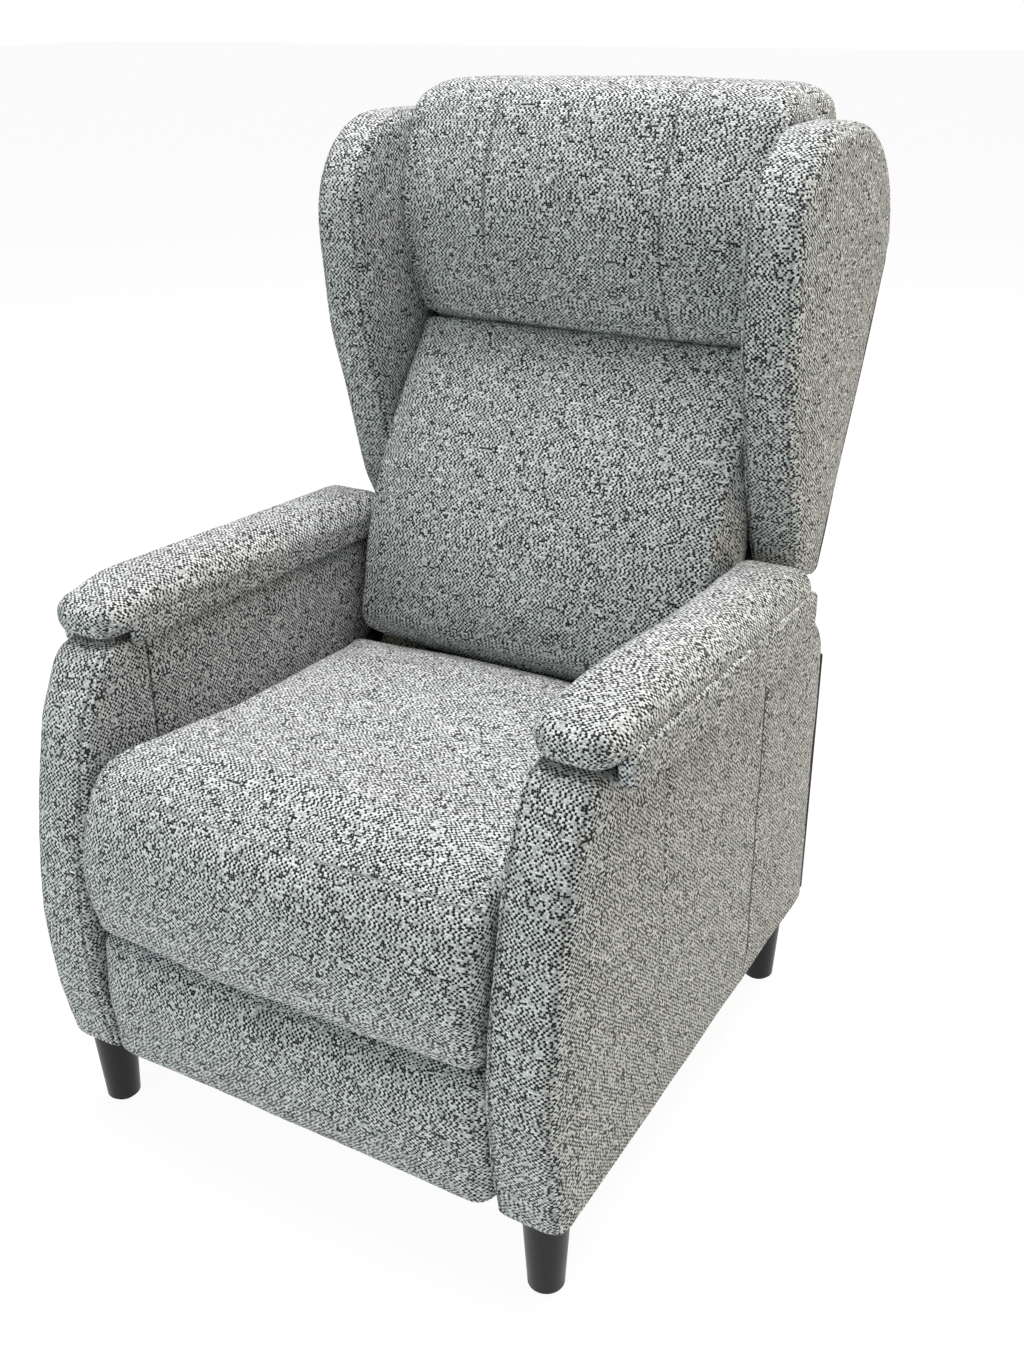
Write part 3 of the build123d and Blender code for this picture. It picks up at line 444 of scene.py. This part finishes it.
def refine(piece):
    finer = piece.modifiers.new("finer", "SUBSURF")
    finer.levels = finer.render_levels = 1
    settle(piece)


# presses a sewn line into the cover: far is each point's distance from the line
def press(piece, far, depth, width):
    co = points(piece)
    co -= normals(piece) * (depth * np.exp(-(far / width) ** 2))[:, None]
    setPoints(piece, co)


def ripple(piece, height, size, seed):  # the small unevenness of stuffed cloth
    co = points(piece)
    way = normals(piece)
    shift = Vector((seed * 3.7, seed * 1.3, seed * 2.1))
    lift = np.array([noise.noise(Vector(p) / size + shift) for p in co])
    setPoints(piece, co + way * (lift * height)[:, None])


# lays the weave: sides by (y, z), the strip round the outline by (x, way along it), or turned by a quarter
def layWeave(piece, outline, turned=False):
    mesh = piece.data
    co = points(piece)
    along = nearest(outline, co[:, 1:])[1]
    weave = mesh.uv_layers.new(name="weave")
    corners = np.empty(len(mesh.loops), np.int32)
    mesh.loops.foreach_get("vertex_index", corners)
    faceOf = np.repeat(np.arange(len(mesh.polygons)), [p.loop_total for p in mesh.polygons])
    facing = np.empty(len(mesh.polygons) * 3, np.float32)
    mesh.polygon_normals.foreach_get("vector", facing)
    isSide = np.abs(facing.reshape(-1, 3)[faceOf, 0]) > form["sideLeast"]
    u = np.where(isSide, co[corners, 1], co[corners, 0])
    v = np.where(isSide, co[corners, 2], along[corners])
    flat = np.stack((v, u) if turned else (u, v), axis=1)
    weave.data.foreach_set("uv", flat.ravel().astype(np.float32))


def dress(piece, material, body, replaced=()):
    piece.data.materials.clear()
    piece.data.materials.append(material)
    piece.data.polygons.foreach_set("use_smooth", [True] * len(piece.data.polygons))
    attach(piece, body)
    if replaced:
        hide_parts(*replaced)


# the outline and the plain form of a cushion that is the same on both sides of the chair's middle
def cushion(name, c):
    outline = rounded(c["outline"])
    ends = ((-c["half"], c["round"]), (c["half"], c["round"]))
    return outline, slab(name, outline, ends, c["voxel"], c["smooth"])


def mirrored(piece, name):
    twin = piece.copy()
    twin.data = piece.data.copy()
    twin.name = name
    bpy.context.scene.collection.objects.link(twin)
    bm = bmesh.new()
    bm.from_mesh(twin.data)
    bmesh.ops.scale(bm, verts=bm.verts, vec=(-1, 1, 1))
    bmesh.ops.reverse_faces(bm, faces=bm.faces)
    bm.to_mesh(twin.data)
    bm.free()
    return twin


# arms: a crowned strip round the front and top, sewn to the two sides
arm = {
    "ends": ((0.2452, 0.008), (0.3205, 0.020)),
    "outline": [(-0.408, 0.099, 0.004), (-0.4405, 0.270, 0.60), (-0.385, 0.500, 0.10), (-0.347, 0.570, 0.04),
                (0.174, 0.547, 0.03), (0.248, 0.492, 0.03), (0.263, 0.462, 0.03), (0.263, 0.102, 0.006)],
    "voxel": 0.006, "smooth": 3, "pressure": 3.5, "cap": 0.003, "squareBelow": 0.12,
    "outerSeams": ((0.050, 1.0), (-0.210, 0.3)), "innerSeams": ((-0.285, 0.8),),
    "rimSeams": ((0.2525, 0.45), (0.3115, 0.25)),
    "outer": (0.305, 0.4), "inner": (0.2, 0.262), "whole": (0.2, 0.4),
    "sideLeast": 0.8, "seamDepth": 0.0022, "seamWidth": 0.005, "ripple": (0.0010, 0.07, 1), "fill": 0.55,
}
armTweed = tweedMaterial("armTweed", [
    *[(1, *seam, *arm["outer"]) for seam in arm["outerSeams"]],
    *[(1, *seam, *arm["inner"]) for seam in arm["innerSeams"]],
    *[(0, *seam, *arm["whole"]) for seam in arm["rimSeams"]]])


def makeArm():
    a = arm
    outline = rounded(a["outline"])
    piece = slab("rightArm", outline, a["ends"], a["voxel"], a["smooth"], a["squareBelow"])
    puff(piece, onRim(piece) | faces(piece, 2, -1) | faces(piece, 0, -1), a["pressure"], a["cap"])
    refine(piece)
    along = points(piece)[:, 1]
    outer = faces(piece, 0, 1, a["sideLeast"])
    inner = faces(piece, 0, -1, a["sideLeast"])
    for side, seams in ((outer, a["outerSeams"]), (inner, a["innerSeams"])):
        for place, _ in seams:
            press(piece, np.where(side, np.abs(along - place), 1), a["seamDepth"], a["seamWidth"])
    ripple(piece, *a["ripple"])
    layWeave(piece, outline)
    return piece


rightArm = makeArm()
leftArm = mirrored(rightArm, "leftArm")
for side, piece in (("right", rightArm), ("left", leftArm)):
    dress(piece, armTweed, "base", [f"{side}_arm_cover"])
print("arms done")


# arm pads: a stuffed roll over each arm with a flap down both sides
pad = {
    "ends": ((0.238, 0.024), (0.334, 0.024)), "middle": 0.286, "half": 0.048,
    "outline": [(-0.342, 0.573, 0.012), (-0.342, 0.606, 0.020), (-0.255, 0.620, 0.15), (0.164, 0.596, 0.024),
                (0.166, 0.548, 0.012)],
    "voxel": 0.005, "smooth": 4, "pressure": 4.0, "cap": 0.004,
    "frontCorner": 0.030, "rearCorner": 0.022, "ripple": (0.0015, 0.06, 2), "fill": 0.5,
}
flap = {
    "outerEnds": ((0.3190, 0.003), (0.3385, 0.005)), "innerEnds": ((0.2385, 0.004), (0.2470, 0.003)),
    "outer": [(-0.316, 0.590, 0.004), (-0.314, 0.550, 0.006), (0.154, 0.499, 0.006), (0.158, 0.570, 0.004)],
    "inner": [(-0.310, 0.590, 0.004), (-0.306, 0.562, 0.006), (0.154, 0.546, 0.006), (0.158, 0.575, 0.004)],
    "cornerSteps": 3, "voxel": 0.003, "smooth": 2, "ripple": (0.0010, 0.05, 3), "fill": 0.3,
}
padTweed = tweedMaterial("padTweed")


def makePad():
    p = pad
    outline = rounded(p["outline"])
    piece = slab("rightPad", outline, p["ends"], p["voxel"], p["smooth"])
    front, rear = p["outline"][0][0], p["outline"][-1][0]
    narrow(piece, 1, front, 1, p["frontCorner"], p["middle"], p["half"])
    narrow(piece, 1, rear, -1, p["rearCorner"], p["middle"], p["half"])
    puff(piece, faces(piece, 2, -1), p["pressure"], p["cap"])
    refine(piece)
    ripple(piece, *p["ripple"])
    layWeave(piece, outline)
    return piece


def makeFlap(name, ends, corners):
    outline = rounded(corners, flap["cornerSteps"])
    piece = slab(name, outline, ends, flap["voxel"], flap["smooth"])
    ripple(piece, *flap["ripple"])
    layWeave(piece, outline, True)
    return piece


rightPad = makePad()
rightOuterFlap = makeFlap("rightOuterFlap", flap["outerEnds"], flap["outer"])
rightInnerFlap = makeFlap("rightInnerFlap", flap["innerEnds"], flap["inner"])
leftPad = mirrored(rightPad, "leftPad")
leftFlaps = [mirrored(rightOuterFlap, "leftOuterFlap"), mirrored(rightInnerFlap, "leftInnerFlap")]
for side, piece in (("right", rightPad), ("left", leftPad)):
    dress(piece, padTweed, "base", [f"{side}_arm_pad"])
for piece in (rightOuterFlap, rightInnerFlap, *leftFlaps):
    dress(piece, padTweed, "base")
print("pads done")


# wings: a strip over the front edge, sewn to the two cheeks
wing = {
    "ends": ((0.2355, 0.009), (0.3025, 0.020)),
    "outline": [(0.207, 0.560, 0.020), (0.186, 0.600, 0.06), (0.124, 0.820, 0.60), (0.110, 1.048, 0.115),
                (0.425, 1.042, 0.14), (0.440, 0.903, 0.02), (0.264, 0.540, 0.01)],
    "voxel": 0.006, "smooth": 3, "pressure": 4.0, "cap": 0.006,
    "rimSeams": ((0.2435, 0.45), (0.2905, 0.3)), "whole": (0.2, 0.4),
    "ripple": (0.0014, 0.08, 4), "fill": 0.5,
}
wingTweed = tweedMaterial("wingTweed", [(0, *seam, *wing["whole"]) for seam in wing["rimSeams"]])


def makeWing():
    w = wing
    outline = rounded(w["outline"])
    piece = slab("rightWing", outline, w["ends"], w["voxel"], w["smooth"])
    puff(piece, onRim(piece), w["pressure"], w["cap"])
    refine(piece)
    ripple(piece, *w["ripple"])
    layWeave(piece, outline)
    return piece


rightWing = makeWing()
leftWing = mirrored(rightWing, "leftWing")
for side, piece in (("right", rightWing), ("left", leftWing)):
    dress(piece, wingTweed, "back", [f"{side}_wing_cover"])
print("wings done")


# headrest: a roll with two sewn lines
headrest = {
    "half": 0.2365, "round": 0.014, "front": 0.018, "top": 0.004,
    "outline": [(0.234, 0.808, 0.012), (0.172, 0.930, 0.16), (0.240, 1.081, 0.055), (0.400, 1.081, 0.065),
                (0.440, 0.905, 0.01), (0.325, 0.768, 0.01)],
    "seam": 0.112, "seamStrength": 0.5, "seamHold": 0.004, "seamDepth": 0.0012, "seamWidth": 0.006,
    "corner": 0.024, "rearLeast": 0.6,
    "voxel": 0.006, "smooth": 4, "pressure": 4.0, "cap": 0.0035, "ripple": (0.0020, 0.09, 5), "fill": 0.6,
}
headTweed = tweedMaterial("headTweed", [(0, headrest["seam"], headrest["seamStrength"], 0.0, 0.4)])


def makeHeadrest():
    h = headrest
    outline, piece = cushion("headrest", h)
    narrow(piece, 2, h["outline"][2][1], -1, h["corner"], 0.0, h["half"])
    crown(piece, h["half"], h["front"], h["top"])
    sewn = np.abs(np.abs(points(piece)[:, 0]) - h["seam"]) < h["seamHold"]
    puff(piece, sewn | faces(piece, 1, 1, h["rearLeast"]), h["pressure"], h["cap"])
    refine(piece)
    press(piece, np.abs(np.abs(points(piece)[:, 0]) - h["seam"]), h["seamDepth"], h["seamWidth"])
    ripple(piece, *h["ripple"])
    layWeave(piece, outline)
    return piece


dress(makeHeadrest(), headTweed, "back", ["headrest_cushion"])
print("headrest done")


# back cushion
lumbar = {
    "half": 0.231, "round": 0.020, "front": 0.020, "top": 0.0,
    "outline": [(0.044, 0.444, 0.028), (0.088, 0.640, 0.45), (0.231, 0.812, 0.018), (0.322, 0.768, 0.01),
                (0.147, 0.405, 0.02)],
    "voxel": 0.006, "smooth": 4, "pressure": 4.0, "cap": 0.010, "heldAbove": 0.79,
    "ripple": (0.0025, 0.11, 6), "fill": 0.6,
}
plainTweed = tweedMaterial("plainTweed")


def makeLumbar():
    c = lumbar
    outline, piece = cushion("backCushion", c)
    crown(piece, c["half"], c["front"], c["top"])
    puff(piece, faces(piece, 1, 1) | (points(piece)[:, 2] > c["heldAbove"]), c["pressure"], c["cap"])
    refine(piece)
    ripple(piece, *c["ripple"])
    layWeave(piece, outline)
    return piece


dress(makeLumbar(), plainTweed, "back", ["back_cushion"])
print("back cushion done")


# seat cushion with a waterfall front
seat = {
    "half": 0.241, "round": 0.024, "front": 0.010, "top": 0.014,
    "outline": [(-0.424, 0.270, 0.016), (-0.464, 0.372, 0.20), (-0.398, 0.482, 0.055), (-0.215, 0.456, 0.25),
                (0.069, 0.440, 0.014), (0.069, 0.400, 0.004), (-0.374, 0.400, 0.004), (-0.374, 0.270, 0.006)],
    "voxel": 0.006, "smooth": 4, "pressure": 4.0, "cap": 0.010, "rearLeast": 0.6,
    "ripple": (0.0025, 0.10, 7), "fill": 0.6,
}


def makeSeat():
    s = seat
    outline, piece = cushion("seatCushion", s)
    crown(piece, s["half"], s["front"], s["top"])
    puff(piece, faces(piece, 2, -1) | faces(piece, 1, 1, s["rearLeast"]), s["pressure"], s["cap"])
    refine(piece)
    ripple(piece, *s["ripple"])
    layWeave(piece, outline)
    return piece


dress(makeSeat(), plainTweed, "seat", ["seat_cushion"])
print("seat cushion done")


# footrest pad
footrest = {
    "half": 0.2435, "round": 0.018, "front": 0.006, "top": 0.0, "corner": 0.018,
    "outline": [(-0.3755, 0.1025, 0.003), (-0.420, 0.1025, 0.018), (-0.428, 0.185, 0.3),
                (-0.420, 0.2665, 0.018), (-0.3755, 0.2665, 0.003)],
    "voxel": 0.005, "smooth": 3, "pressure": 4.0, "cap": 0.006, "rearLeast": 0.3,
    "ripple": (0.0016, 0.08, 8), "fill": 0.5,
}


def makeFootrest():
    f = footrest
    outline, piece = cushion("footrestPad", f)
    narrow(piece, 2, f["outline"][0][1], 1, f["corner"], 0.0, f["half"])
    crown(piece, f["half"], f["front"], f["top"])
    puff(piece, faces(piece, 1, 1, f["rearLeast"]), f["pressure"], f["cap"])
    refine(piece)
    ripple(piece, *f["ripple"])
    layWeave(piece, outline)
    return piece


dress(makeFootrest(), plainTweed, "footrest", ["footrest_pad"])
print("footrest done")


# dark cloth panels: the outside back, the lower rear, the underside and the arms' rear edges
lining = {
    "rake": math.radians(26), "foot": (0.262, 0.533), "cornerSteps": 4, "voxel": 0.004, "smooth": 2,
    "back": [(-0.238, -0.115, 0.012), (0.238, -0.115, 0.012), (0.238, 0.008, 0.006), (0.297, 0.008, 0.014),
             (0.297, 0.410, 0.020), (-0.297, 0.410, 0.020), (-0.297, 0.008, 0.014), (-0.238, 0.008, 0.006)],
    "backEnds": ((-0.004, 0.0), (0.006, 0.005)), "ripple": (0.0012, 0.10, 9), "backFill": 0.2,
    "swell": 0.005, "swellReach": 0.12, "swellPower": 0.7, "swellFrom": 0.003,
    "panels": [
        ("lowerRear", (-0.2445, 0.2385, 0.107), (0.2445, 0.2512, 0.4185), 0.004, "rear_panel", 0.3),
        ("underside", (-0.2445, -0.070, 0.1048), (0.2445, 0.238, 0.1062), 0.0004, "dust_cover", 0.1),
    ],
    "trim": ((0.2475, 0.2600, 0.110), (0.3160, 0.2652, 0.446), 0.002), "trimFill": 0.2,
}
darkLining = liningMaterial("darkLining")


def onBack(along, depth):  # the place up the raked back, and forward of its face by depth
    y = lining["foot"][0] + along * math.sin(lining["rake"]) - depth * math.cos(lining["rake"])
    z = lining["foot"][1] + along * math.cos(lining["rake"]) + depth * math.sin(lining["rake"])
    return y, z


def boxPiece(name, low, high, edge):
    bm = bmesh.new()
    bmesh.ops.create_cube(bm, size=1.0)
    bmesh.ops.scale(bm, verts=bm.verts, vec=Vector(high) - Vector(low))
    bmesh.ops.translate(bm, verts=bm.verts, vec=(Vector(high) + Vector(low)) / 2)
    bmesh.ops.bevel(bm, geom=bm.edges[:], offset=edge, offset_type="OFFSET", segments=2, profile=0.5,
                    affect="EDGES", material=-1, clamp_overlap=True)
    return newPiece(name, bm)


def makeBackLining():
    g = lining
    outline = rounded(g["back"], g["cornerSteps"])
    piece = slab("outsideBack", outline, g["backEnds"], g["voxel"], g["smooth"])
    co = points(piece)
    edge = nearest(outline, co[:, 1:])[0]
    swell = g["swell"] * np.clip(edge / g["swellReach"], 0, 1) ** g["swellPower"]
    behind = co[:, 0] + swell * (co[:, 0] > g["swellFrom"])
    place = np.array([onBack(v, -d) for v, d in zip(co[:, 2], behind)])
    setPoints(piece, np.column_stack((co[:, 1], place)))
    ripple(piece, *g["ripple"])
    return piece


dress(makeBackLining(), darkLining, "back", ["back_lining"])
for name, low, high, edge, replaced, fill in lining["panels"]:
    dress(boxPiece(name, low, high, edge), darkLining, "base", [replaced])
rightTrim = boxPiece("rightRearTrim", *lining["trim"])
leftTrim = mirrored(rightTrim, "leftRearTrim")
for piece in (rightTrim, leftTrim):
    dress(piece, darkLining, "base")
print("lining done")


# finishes of the CAD pieces that stay
finishes = {
    "leg_black": legMaterial("legBlack"),
    "glide": legMaterial("glideBlack"),
    "timber": woodMaterial("timber", (0.62, 0.46, 0.29, 1), (0.42, 0.28, 0.16, 1), (1.0, 0.12, 1.0)),
    "plywood": woodMaterial("plywood", (0.66, 0.52, 0.35, 1), (0.48, 0.35, 0.22, 1), (1.0, 0.3, 0.1)),
    "mechanism_black": steelMaterial("mechanismBlack", (0.02, 0.02, 0.021, 1), 0.0, 0.42),
    "zinc_steel": steelMaterial("zincSteel", (0.56, 0.56, 0.53, 1), 1.0, 0.36),
    "webbing": webbingMaterial("webbing"),
}
for part in frame["record"]["subparts"]:
    if part["material_slot"] in finishes:
        piece = nodes[part["node"]]
        piece.data.materials.clear()
        covered = part["node"] == "footrest_board"
        piece.data.materials.append(darkLining if covered else finishes[part["material_slot"]])
print("finishes done")


# studio: pale floor, soft light, camera where the photograph was taken
studio = {
    "floorSize": 60.0, "floorTone": (0.93, 0.93, 0.93, 1), "floorGlow": 0.88, "floorWhite": 1.08,
    "eye": (0.786, -1.294, 1.174), "azimuth": 30.17, "elevation": 25.72, "roll": -0.60,
    "lens": 37.99, "sensor": 36.0,
    "lights": [
        ("overhead", (0.1, 0.60, 4.5), (0, 0.0, 0.4), 3.4, 246.0, (1.0, 1.0, 0.99)),
        ("front", (-0.9, -3.2, 1.0), (0, 0, 0.5), 2.0, 31.5, (0.85, 1.0, 1.0)),
        ("side", (2.7, 1.1, 0.9), (0, 0, 0.5), 1.6, 18.5, (1.0, 0.88, 0.64)),
    ],
    "sky": 0.085,
}


def makeFloor():
    bm = bmesh.new()
    bmesh.ops.create_grid(bm, x_segments=1, y_segments=1, size=studio["floorSize"] / 2)
    floor = newPiece("floor", bm)
    material, shader, start = newMaterial("paleFloor")
    shader.inputs["Base Color"].default_value = studio["floorTone"]
    shader.inputs["Roughness"].default_value = 0.9
    shader.inputs["Specular IOR Level"].default_value = 0.0
    tree = material.node_tree
    glow = tree.nodes.new("ShaderNodeEmission")
    glow.inputs["Strength"].default_value = studio["floorWhite"]
    mix = tree.nodes.new("ShaderNodeMixShader")
    rays = start.node("LightPath")
    seen = (rays + rays.other("Is Glossy Ray")).maths("MINIMUM", 1.0)
    tree.links.new((seen * studio["floorGlow"]).socket, mix.inputs[0])
    tree.links.new(shader.outputs[0], mix.inputs[1])
    tree.links.new(glow.outputs[0], mix.inputs[2])
    tree.links.new(mix.outputs[0], tree.nodes["Material Output"].inputs["Surface"])
    floor.data.materials.append(material)


def makeLights():
    for name, place, aim, size, power, colour in studio["lights"]:
        lamp = bpy.data.lights.new(name, "AREA")
        lamp.shape = "DISK"
        lamp.size = size
        lamp.energy = power
        lamp.color = colour
        holder = bpy.data.objects.new(name, lamp)
        holder.location = place
        holder.rotation_euler = (Vector(place) - Vector(aim)).to_track_quat("Z", "Y").to_euler()
        bpy.context.scene.collection.objects.link(holder)
    world = bpy.data.worlds.new("studio")
    bpy.context.scene.world = world
    world.use_nodes = True
    tree = world.node_tree
    ground = tree.nodes["Background"]
    ground.inputs["Color"].default_value = (1, 1, 1, 1)
    rays = Wire(tree).node("LightPath")
    seen = (rays + rays.other("Is Glossy Ray") + rays.other("Is Transmission Ray")).maths("MINIMUM", 1.0)
    tree.links.new((seen * (1.0 - studio["sky"]) + studio["sky"]).socket, ground.inputs["Strength"])


def makeCamera():
    turn, tilt, roll = (math.radians(studio[k]) for k in ("azimuth", "elevation", "roll"))
    back = Vector((math.sin(turn) * math.cos(tilt), -math.cos(turn) * math.cos(tilt), math.sin(tilt)))
    right = Vector((math.cos(turn), math.sin(turn), 0))
    up = back.cross(right)
    lens = bpy.data.cameras.new("camera")
    lens.lens = studio["lens"]
    lens.sensor_width = studio["sensor"]
    eye = bpy.data.objects.new("camera", lens)
    across = right * math.cos(roll) + up * math.sin(roll)
    axes = Matrix((across, up * math.cos(roll) - right * math.sin(roll), back))
    eye.matrix_world = Matrix.Translation(studio["eye"]) @ axes.transposed().to_4x4()
    bpy.context.scene.collection.objects.link(eye)
    bpy.context.scene.camera = eye


makeFloor()
makeLights()
makeCamera()
bpy.context.scene.view_settings.view_transform = "Standard"
print("studio done")
